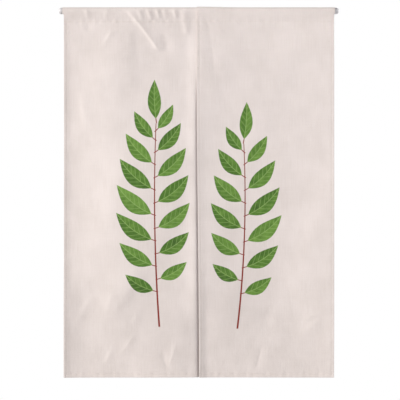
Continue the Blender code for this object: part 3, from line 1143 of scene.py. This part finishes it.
    def mesh(self) -> bpy.types.Mesh:
        """Builds the panel's closed mesh with its flat map and its attributes.

        Returns:
            The mesh.
        """
        points = np.concatenate([self.front.reshape(-1, 3), self.reverse.reshape(-1, 3)])
        mesh = bpy.data.meshes.new(self.name)
        mesh.from_pydata(points.tolist(), [], self.quads().tolist())
        mesh.validate()
        corners = np.empty(len(mesh.loops), dtype=np.int32)
        mesh.loops.foreach_get("vertex_index", corners)
        self.write_flat_map(mesh, corners)
        spots = self.write_print(mesh)
        self.write_leaves(mesh, spots[corners.reshape(-1, 4)].mean(axis=1))
        mesh.shade_smooth()
        return mesh

    def write_flat_map(self, mesh: bpy.types.Mesh, corners: Array) -> None:
        """Writes the flat_cloth map, in metres of the sewn panel laid flat, and the layers attribute.

        Args:
            mesh: the panel's mesh.
            corners: the point that each of its faces' corners is.
        """
        steps = np.linalg.norm(np.diff(self.front, axis=0), axis=2).mean(axis=1)
        down = np.concatenate([[0.0], np.cumsum(steps)])
        flat = np.stack(np.meshgrid(self.columns + self.map_apart * self.laps_over, down), axis=2).reshape(-1, 2)
        flat = np.concatenate([flat, flat])[corners].astype(np.float32)
        mesh.uv_layers.new(name="flat_cloth").data.foreach_set("uv", flat.ravel())
        # The layers attribute marks where the cloth lies double; the material darkens the colour there as painted
        # shade.
        thick = (self.thickness() > mix(self.cloth, self.hem, 0.5)).ravel()
        write(mesh, "layers", "POINT", np.concatenate([thick, thick]))

    def write_print(self, mesh: bpy.types.Mesh) -> Array:
        """Writes where each point lies for the stem and the leaves, and how much the soft tone patches lighten and
        darken the cloth's colour there.

        Args:
            mesh: the panel's mesh.

        Returns:
            Each point's place across, its drop and the share of the ink that its side of the cloth shows.
        """
        drops = np.array([s.at if s.leg is Leg.FRONT else 0.0 for s in self.stations])
        across = np.array([self.across(drop) for drop in drops])
        drop = np.broadcast_to(drops[:, None], across.shape)
        faces = [np.stack([across, drop, np.full_like(across, cloth.value)], axis=2) for cloth in Cloth]
        spots = np.concatenate(faces).reshape(-1, 3)
        foot, tip = self.sprig.foot[1], self.sprig.tip[1]
        run = (foot * MM - spots[:, 1]) / ((foot - tip) * MM)
        stem, _ = self.sprig.stem_point(run)
        # Each patch lightens the colour, and darkens it where its share is negative.
        tone_patches = np.ones_like(run)
        for patch in self.tone_patches:
            right = (spots[:, 0] / MM - patch.across) / patch.reach_across
            down = (spots[:, 1] / MM - patch.drop) / patch.reach_down
            tone_patches += patch.share * bell(np.hypot(right, down), 1.0)
        write(mesh, "print_place", "POINT", spots)
        write(mesh, "stem_place", "POINT", np.stack([spots[:, 0] - stem * MM, run, np.zeros_like(run)], axis=1))
        write(mesh, "tone_patches", "POINT", tone_patches)
        return spots

    def write_leaves(self, mesh: bpy.types.Mesh, middle: Array) -> None:
        """Writes for each face of the mesh the leaf that is nearest to it.

        Args:
            mesh: the panel's mesh.
            middle: the place across and the drop of each face's middle.
        """
        leaves = self.sprig.bases()
        start, towards = leaves[:, :2], leaves[:, 2:4]
        length, width, bend = leaves[:, 4], leaves[:, 5], leaves[:, 6]
        offset = middle[:, None, :2] - start
        along = (offset * towards).sum(axis=2)
        aside = offset[..., 1] * towards[:, 0] - offset[..., 0] * towards[:, 1]
        share = np.clip(along / length, -0.14, 1.0)
        arch = 4.0 * np.clip(share, 0.0, 1.0) * (1.0 - np.clip(share, 0.0, 1.0))
        away = np.hypot(aside - bend * arch, along - share * length)
        chosen = leaves[(away - arch * width * 0.5).argmin(axis=1)]
        write(mesh, "leaf_base", "FACE", chosen[:, [0, 1, 4]])
        write(mesh, "leaf_turn", "FACE", chosen[:, [2, 3, 5]])
        write(mesh, "leaf_look", "FACE", np.stack([chosen[:, 6], chosen[:, 7], np.zeros(len(chosen))], axis=1))

    def build(self, material: bpy.types.Material) -> bpy.types.Object:
        """Builds the panel's piece with its cloth finish."""
        self.lay_out()
        return new_piece(self.name, self.mesh(), material)

    def sewing_lines(self) -> list[Array]:
        """Follows the rows of stitches of the hems, the pocket, the sewn lap and its bar tack.

        Returns:
            Each row as a line of points.
        """
        drape, inset, proud = self.drape, self.side_hem - self.stitch_in, 0.10 * MM
        seam_row = self.stations.index(Station(Leg.FRONT, drape.pocket_depth))
        foot_row = self.stations.index(Station(Leg.FRONT, drape.height - self.bottom_hem))
        back_row = self.stations.index(Station(Leg.BACK, drape.pocket_depth))
        face, reverse = self.front + self.outward * proud, self.reverse - self.outward * proud
        lines = []
        for near in (inset, self.width - inset):
            column = int(np.abs(self.columns - near).argmin())
            lines += [surface[foot_row : seam_row + 1, column] for surface in (face, reverse)]
        lines += [surface[foot_row, 7:-7] for surface in (face, reverse)]
        lines += [face[seam_row, 1:-1], face[back_row, 1:-1]]
        if self.laps_over:
            column = int(np.abs(self.columns - self.seam_in).argmin())
            slit_row = min(range(seam_row), key=lambda i: abs(self.stations[i].at - drape.slit_from))
            top_row = max(i for i, s in enumerate(self.stations) if s.leg is Leg.FRONT)
            lines.append(face[slit_row : top_row + 1, column])
            for rise in np.linspace(-self.bar_tack_mm / 2, self.bar_tack_mm / 2, self.bar_tack_rows):
                bar = face[slit_row, column] + np.array([0.0, -0.08, rise]) * MM
                lines.append(np.stack([bar, bar + [2.0 * MM, 0.0, 0.0]]))
        return lines


@dataclass(frozen=True)
class Stitching:
    """Rows of lockstitch, made by Geometry Nodes along the panels' sewing lines."""

    pitch: float = 0.0034
    length: float = 0.0026
    radius: float = 0.00032
    seed: int = 7

    def tree(self, thread: bpy.types.Material) -> Tree:
        """Builds the node tree that lays one short length of thread at every step of a line.

        Args:
            thread: the sewing thread's material.

        Returns:
            The tree, with the inputs Lines, Pitch, Length, Radius and Seed.
        """
        tree = bpy.data.node_groups.new("lockstitch", "GeometryNodeTree")
        face = tree.interface
        face.new_socket("Lines", in_out="INPUT", socket_type="NodeSocketGeometry")
        for name in ("Pitch", "Length", "Radius"):
            face.new_socket(name, in_out="INPUT", socket_type="NodeSocketFloat")
        face.new_socket("Seed", in_out="INPUT", socket_type="NodeSocketInt")
        face.new_socket("Stitches", in_out="OUTPUT", socket_type="NodeSocketGeometry")
        given = put(tree, "NodeGroupInput").outputs
        curve = put(tree, "GeometryNodeMeshToCurve", {"Mesh": given["Lines"]})
        points = put(tree, "GeometryNodeCurveToPoints", {"Curve": curve, "Length": given["Pitch"]}, mode="LENGTH")
        ball = put(tree, "GeometryNodeMeshUVSphere", {"Segments": 6, "Rings": 4, "Radius": 1.0})
        half = put(tree, MATH, {0: given["Length"], 1: 0.5}, operation="MULTIPLY")
        size = put(tree, JOIN, {0: given["Radius"], 1: given["Radius"], 2: half})
        stitch = put(tree, "GeometryNodeTransform", {"Geometry": ball.outputs["Mesh"], "Scale": size})
        stitch = put(tree, "GeometryNodeSetShadeSmooth", {"Geometry": stitch})
        span = {0: (0.85, 0.85, 0.88), 1: (1.15, 1.15, 1.06), "Seed": given["Seed"]}
        uneven = put(tree, "FunctionNodeRandomValue", span, data_type="FLOAT_VECTOR")
        laid = {"Instance": stitch, "Scale": uneven}
        laid |= {name: points.outputs[name] for name in ("Points", "Rotation")}
        laid = put(tree, "GeometryNodeInstanceOnPoints", laid)
        real = put(tree, "GeometryNodeRealizeInstances", {"Geometry": laid})
        dressed = put(tree, "GeometryNodeSetMaterial", {"Geometry": real, "Material": thread})
        put(tree, "NodeGroupOutput", {"Stitches": dressed})
        return tree

    def build(self, name: str, lines: list[Array], thread: bpy.types.Material) -> bpy.types.Object:
        """Sews along the lines and turns the result into a plain mesh.

        Args:
            name: the piece's name.
            lines: the sewing lines, each an array of points.
            thread: the sewing thread's material.

        Returns:
            One piece that holds all the stitches.
        """
        points, edges = [], []
        for line in lines:
            edges += [(i, i + 1) for i in range(len(points), len(points) + len(line) - 1)]
            points += line.tolist()
        guide_mesh = bpy.data.meshes.new(f"{name}_guide")
        guide_mesh.from_pydata(points, edges, [])
        guide = bpy.data.objects.new(f"{name}_guide", guide_mesh)
        bpy.context.scene.collection.objects.link(guide)
        tree = self.tree(thread)
        modifier = guide.modifiers.new("Lockstitch", "NODES")
        modifier.node_group = tree
        sizes = {"Pitch": self.pitch, "Length": self.length, "Radius": self.radius, "Seed": self.seed}
        for item in tree.interface.items_tree:
            if item.name in sizes:
                modifier[item.identifier] = sizes[item.name]
        graph = bpy.context.evaluated_depsgraph_get()
        mesh = bpy.data.meshes.new_from_object(guide.evaluated_get(graph), depsgraph=graph)
        bpy.data.objects.remove(guide, do_unlink=True)
        bpy.data.node_groups.remove(tree)
        return new_piece(name, mesh, thread)


@dataclass(frozen=True)
class TensionRod:
    """The straight tube that the pockets hang on, with a domed cap plugged into each end."""

    span: float = 0.884
    radius: float = 0.0095
    wall: float = 0.0008
    cap_radius: float = 0.0101
    cap_length: float = 0.012
    dome: float = 0.0092
    face_radius: float = 0.003
    groove: float = 0.0004
    plug: float = 0.014
    fit_gap: float = 0.0003
    steps: int = 64
    dome_steps: int = 14
    sharp_from: float = 28.0

    def turned(self, name: str, profile: list[tuple[float, float]], closed: bool) -> bpy.types.Mesh:
        """Turns a profile round the rod's axis.

        Args:
            name: the mesh's name.
            profile: points of X and radius.
            closed: whether the profile's last point joins its first.

        Returns:
            A closed mesh with its faces outwards, smooth apart from its sharp edges.
        """
        shape = bmesh.new()
        points = [shape.verts.new((x, 0.0, radius)) for x, radius in profile]
        for start, end in zip(points, points[1:]):
            shape.edges.new((start, end))
        if closed:
            shape.edges.new((points[-1], points[0]))
        outline = [*shape.verts, *shape.edges]
        turn = {"axis": (1.0, 0.0, 0.0), "cent": (0.0, 0.0, 0.0), "angle": 2 * math.pi}
        bmesh.ops.spin(shape, geom=outline, steps=self.steps, **turn)
        bmesh.ops.remove_doubles(shape, verts=shape.verts, dist=0.00001)
        bmesh.ops.recalc_face_normals(shape, faces=shape.faces)
        for edge in shape.edges:
            edge.smooth = len(edge.link_faces) == 2 and edge.calc_face_angle(0.0) < math.radians(self.sharp_from)
        for face in shape.faces:
            face.smooth = True
        mesh = bpy.data.meshes.new(name)
        shape.to_mesh(mesh)
        shape.free()
        return mesh

    def tube_profile(self) -> list[tuple[float, float]]:
        """Draws the tube's outline with its eased rims.

        Returns:
            Points of X and radius.
        """
        end, ease = self.span / 2 - self.cap_length - self.fit_gap, 0.2 * MM
        bore = self.radius - self.wall
        half = [(end, bore + ease), (end, self.radius - ease), (end - ease, self.radius)]
        return [*half, *((-x, radius) for x, radius in reversed(half)), (ease - end, bore), (end - ease, bore)]

    def cap_profile(self, side: Side) -> list[tuple[float, float]]:
        """Draws a cap's outline from the plug's end over the flange, groove and dome to its flat face.

        Args:
            side: the rod's end that the cap is in.

        Returns:
            Points of X and radius.
        """
        plug, shoulder, ease = self.radius - self.wall - self.fit_gap, self.cap_length - self.dome, 0.3 * MM
        middle = shoulder / 2
        points = [(-self.plug, 0.0), (-self.plug, plug - ease), (ease - self.plug, plug), (0.0, plug)]
        points += [(0.0, self.cap_radius - ease), (ease, self.cap_radius), (middle, self.cap_radius)]
        points.append((middle + self.groove, self.cap_radius - self.groove))
        points.append((middle + 2 * self.groove, self.cap_radius))
        for step in range(self.dome_steps + 1):
            angle = math.pi / 2 * step / self.dome_steps
            radius = mix(self.face_radius, self.cap_radius, math.cos(angle))
            points.append((shoulder + self.dome * math.sin(angle), radius))
        points.append((self.cap_length, 0.0))
        start = self.span / 2 - self.cap_length
        return [(side.value * (start + x), radius) for x, radius in points]

    def build(self, enamel: bpy.types.Material, plastic: bpy.types.Material) -> dict[str, bpy.types.Object]:
        """Builds the tube and its two caps.

        Args:
            enamel: the tube's finish.
            plastic: the caps' finish.

        Returns:
            Each piece by the name of the node that it stands for.
        """
        pieces = {"rod": new_piece("rod_tube", self.turned("rod_tube", self.tube_profile(), True), enamel)}
        for node, side in (("end_cap_left", Side.LEFT), ("end_cap_right", Side.RIGHT)):
            name = f"domed_cap_{side.name.lower()}"
            pieces[node] = new_piece(name, self.turned(name, self.cap_profile(side), False), plastic)
        return pieces


@dataclass(frozen=True)
class SoftLight:
    """A studio softbox: its place, what it lights, its size, its watts and its grid's spread in degrees."""

    name: str
    place: tuple[float, float, float]
    aim: tuple[float, float, float]
    size: float
    power: float
    colour: str = "#FFFFFF"
    spread: float = 180.0

    def build(self) -> None:
        """Adds the softbox, turned to what it lights."""
        lamp = bpy.data.lights.new(self.name, "AREA")
        lamp.shape, lamp.size, lamp.energy = "DISK", self.size, self.power
        lamp.color = linear(self.colour)[:3]
        lamp.spread = math.radians(self.spread)
        box = bpy.data.objects.new(self.name, lamp)
        box.location = self.place
        box.rotation_euler = (Vector(self.aim) - Vector(self.place)).to_track_quat("-Z", "Y").to_euler()
        bpy.context.scene.collection.objects.link(box)


@dataclass(frozen=True)
class Studio:
    """The floor, the softboxes, the white surroundings and the camera."""

    pixel: float = 0.003148
    middle_across: float = 0.0042
    middle_height: float = -0.5965
    distance: float = 4.2
    cloth_y: float = -0.010
    floor_height: float = -1.90
    floor_radius: float = 3.4
    ambient: float = 0.165
    lights: tuple[SoftLight, ...] = (
        SoftLight("key_softbox", (-14.2, -6.2, 3.6), (0.0, 0.0, -0.55), 3.0, 3300.0, "#FFFCF8"),
        SoftLight("fill_softbox", (0.35, -2.0, -0.08), (0.0, 0.0, -0.45), 1.3, 12.0, "#F3F6FF"),
        SoftLight("back_softbox", (-2.4, 3.4, -0.2), (0.0, 0.0, -0.55), 1.8, 12.0, "#FFFFFF", 50.0),
        SoftLight("cap_softbox", (1.7, -0.09, 0.02), (0.44, 0.0, 0.0), 0.16, 0.11, "#FFFFFF", 12.0),
    )

    def build_floor(self, paper: bpy.types.Material) -> bpy.types.Object:
        """Builds the round floor.

        Args:
            paper: its finish.

        Returns:
            The floor.
        """
        shape = bmesh.new()
        bmesh.ops.create_circle(shape, cap_ends=True, radius=self.floor_radius, segments=96)
        mesh = bpy.data.meshes.new("floor")
        shape.to_mesh(mesh)
        shape.free()
        floor = new_piece("floor", mesh, paper)
        floor.location.z = self.floor_height
        return floor

    def build_surroundings(self) -> None:
        """Gives the camera a white background, and everything else a softer light from all round."""
        world = bpy.data.worlds.new("studio")
        bpy.context.scene.world = world
        world.use_nodes = True
        tree = world.node_tree
        tree.nodes.clear()
        seen = put(tree, "ShaderNodeBackground", {"Color": linear("#FFFFFF"), "Strength": 1.0})
        around = put(tree, "ShaderNodeBackground", {"Color": linear("#FBFAFA"), "Strength": self.ambient})
        path = put(tree, "ShaderNodeLightPath")
        shader = put(tree, "ShaderNodeMixShader", {0: path.outputs["Is Camera Ray"], 1: around, 2: seen})
        put(tree, "ShaderNodeOutputWorld", {"Surface": shader})

    def build_camera(self) -> None:
        """Sets the camera straight in front of the curtain, with the photo's framing."""
        lens = bpy.data.cameras.new("camera")
        lens.sensor_width = 36.0
        span = IMAGE_PIXELS * self.pixel
        lens.lens = lens.sensor_width * self.distance / span
        lens.clip_start, lens.clip_end = 0.05, 60.0
        camera = bpy.data.objects.new("camera", lens)
        camera.location = (self.middle_across, self.cloth_y - self.distance, self.middle_height)
        camera.rotation_euler = (math.pi / 2, 0.0, 0.0)
        bpy.context.scene.collection.objects.link(camera)
        bpy.context.scene.camera = camera

    def build(self) -> bpy.types.Object:
        """Builds the whole studio.

        Returns:
            Its floor.
        """
        floor = self.build_floor(StudioPaper().build())
        self.build_surroundings()
        for light in self.lights:
            light.build()
        self.build_camera()
        view = bpy.context.scene.view_settings
        view.view_transform, view.look = "Standard", "None"
        return floor


def hang_panel(panel: SewnPanel, cloth: bpy.types.Material, thread: bpy.types.Material, node: str) -> None:
    """Builds a panel with its stitches, sets them on the root body and hides the node that the panel stands for.

    Args:
        panel: the panel.
        cloth: its finish.
        thread: the sewing thread's finish.
        node: the node that the panel stands for.
    """
    piece = panel.build(cloth)
    stitches = Stitching().build(f"stitches_{panel.side.name.lower()}", panel.sewing_lines(), thread)
    for part in (piece, stitches):
        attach(part, "root")
        report(part)
    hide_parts(node)


def main() -> None:
    """Builds the curtain and its studio in order."""
    logging.basicConfig(level=logging.INFO, format="%(name)s: %(message)s")
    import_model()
    floor = Studio().build()
    drape = Drape()
    rod = TensionRod()
    for node, piece in rod.build(EnamelledSteel().build(), MouldedPlastic().build()).items():
        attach(piece, "root")
        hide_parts(node)
        report(piece)
    cloth, thread = PrintedLinen().build(), CottonThread().build()
    left = SewnPanel("cloth_left", Side.LEFT, outer_edge=-0.4248, flare=0.0044, drape=drape, sprig=LEFT_SPRIG)
    right = SewnPanel("cloth_right", Side.RIGHT, outer_edge=0.4261, flare=0.0030, drape=drape, sprig=RIGHT_SPRIG)
    for panel, node in ((left, "panel_left"), (right, "panel_right")):
        hang_panel(panel, cloth, thread, node)


if __name__ == "__main__":
    main()
